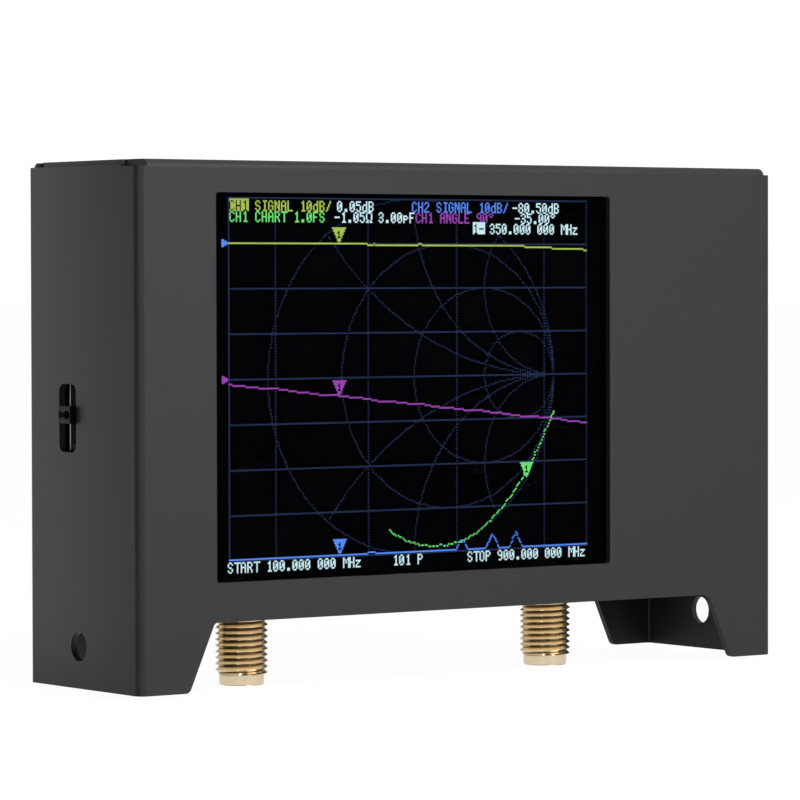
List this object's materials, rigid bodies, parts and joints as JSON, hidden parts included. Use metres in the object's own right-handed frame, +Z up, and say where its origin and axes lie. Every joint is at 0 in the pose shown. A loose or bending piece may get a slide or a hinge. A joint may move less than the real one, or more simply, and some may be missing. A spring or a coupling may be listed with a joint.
{
  "type": "vector network analyzer",
  "caption": "Pocket vector network analyzer: folded sheet-metal case on feet, lit display, coaxial ports underneath, jog lever and power slide on the sides.",
  "frame": {"origin": "middle of the whole object's footprint, level with the tips of the two ports, which are its lowest points", "axes": "+Z up to the top flange, +X to the right as seen from the front, front panel and display facing -Y"},
  "size_m": [0.0952, 0.024, 0.0613],
  "materials": {
    "case_paint": "satin black powder coat with a fine grain",
    "black_screw": "black oxide steel",
    "plated_steel": "zinc or nickel plated",
    "tinned_steel": "tin plated sheet",
    "port_brass": "gold-coloured turned brass",
    "gold_contact": "gold plated",
    "ptfe_white": "waxy white",
    "window_glass": "clear polished touch film",
    "display_black": "black polarizer",
    "screen_white": "lit display dots",
    "screen_yellow": "lit display dots",
    "screen_magenta": "lit display dots",
    "screen_green": "lit display dots",
    "screen_blue": "lit display dots",
    "screen_grid": "dim display lines",
    "chip_black": "moulded epoxy",
    "black_plastic": "moulded",
    "knob_plastic": "moulded, slightly glossy",
    "white_plastic": "white film and moulding",
    "cream_plastic": "nylon connector body",
    "amber_film": "polyimide film",
    "black_foam": "closed-cell adhesive foam",
    "board_mask": "black solder mask on glass-fibre board",
    "brown_laminate": "phenolic paper",
    "foil_silver": "pouch foil",
    "lead_red": "silicone insulation",
    "lead_black": "silicone insulation",
    "ferrite_grey": "ferrite"
  },
  "bodies": {
    "case": {"case_sleeve": "case_paint", "chassis": "case_paint", "case_screws": "black_screw", "rear_standoffs": "plated_steel", "front_spacers": "plated_steel", "board_screws": "plated_steel", "window_gasket": "black_foam", "touch_panel": "window_glass", "lcd_glass": "display_black", "lcd_driver_chip": "chip_black", "light_guide": "white_plastic", "lcd_tray": "white_plastic", "lcd_flex": "amber_film", "flex_connector": "cream_plastic", "mounting_foam": "black_foam", "display_board": "board_mask", "processor_chip": "chip_black", "header_base": "black_plastic", "header_pins": "gold_contact", "header_socket": "black_plastic", "rf_board": "board_mask", "left_shield": "tinned_steel", "right_shield": "tinned_steel", "rf_chips": "chip_black", "quartz_crystal": "tinned_steel", "port_1_jack": "port_brass", "port_1_insulator": "ptfe_white", "port_1_contact": "gold_contact", "port_2_jack": "port_brass", "port_2_insulator": "ptfe_white", "port_2_contact": "gold_contact", "jog_housing": "black_plastic", "jog_cover": "tinned_steel", "jog_dome": "tinned_steel", "power_switch_frame": "tinned_steel", "power_switch_base": "brown_laminate", "usb_shell": "tinned_steel", "usb_tongue": "black_plastic", "battery_cell": "foil_silver", "battery_guard_board": "board_mask", "battery_tape": "white_plastic", "battery_socket": "cream_plastic", "battery_plug": "cream_plastic", "battery_lead_red": "lead_red", "battery_lead_black": "lead_black", "charger_chip": "chip_black", "charger_inductor": "ferrite_grey"},
    "jog_slide": {"jog_carriage": "black_plastic", "jog_pin": "plated_steel"},
    "jog_rocker": {"jog_lever": "knob_plastic"},
    "power_slider": {"power_knob": "knob_plastic"}
  },
  "joints": [
    {"name": "jog_press", "type": "slide", "parent": "case", "child": "jog_slide", "axis": [1, 0, 0], "range_m": [0, 0.0004], "stiffness_N_per_m": 4000},
    {"name": "jog_tilt", "type": "hinge", "parent": "jog_slide", "child": "jog_rocker", "pos_m": [-0.0399, 0.0027, 0.0321], "axis": [0, 1, 0], "range_deg": [-15, 15], "stiffness_Nm_per_rad": 0.02},
    {"name": "power_slide", "type": "slide", "parent": "case", "child": "power_slider", "axis": [0, 0, 1], "range_m": [0, 0.002]}
  ]
}
